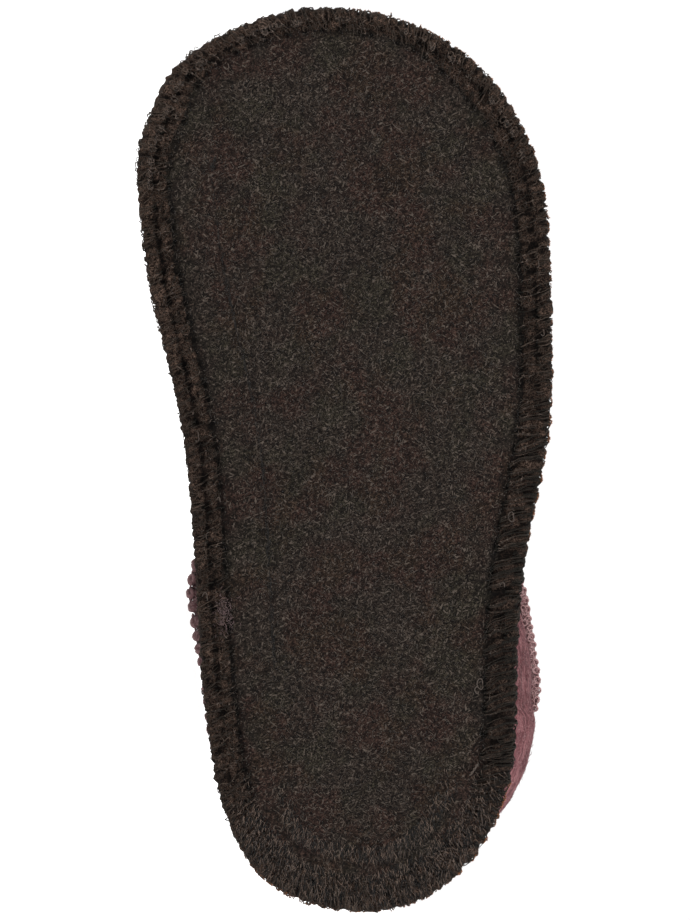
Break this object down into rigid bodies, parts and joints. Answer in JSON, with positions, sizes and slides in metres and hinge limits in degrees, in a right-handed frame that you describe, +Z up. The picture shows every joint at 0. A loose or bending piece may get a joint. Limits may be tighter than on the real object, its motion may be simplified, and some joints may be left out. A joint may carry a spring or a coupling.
{
  "type": "house slipper",
  "caption": "Child's closed-back house slipper in boiled wool on a soft felt sole, lying on its inner side.",
  "frame": {"origin": "middle of the bottom of the bounding box, on the floor that the slipper lies on", "axes": "+Z up; the sole faces -Y, the toe points to -X and the heel to +X, the outer side of the foot is up"},
  "size_m": [0.1726, 0.053, 0.0763],
  "materials": {
    "sole_felt": "dense anthracite wool felt with short fibres",
    "sole_yarn": "dark brown woollen overcast yarn, fuzzy, several strands to a stitch",
    "insole_felt": "soft grey-brown wool felt footbed",
    "boiled_wool": "mauve boiled wool with a short nap",
    "collar_yarn": "mauve looped yarn round the collar"
  },
  "bodies": {
    "root": {"outsole": "sole_felt", "insole": "insole_felt", "upper": "boiled_wool"}
  },
  "joints": []
}
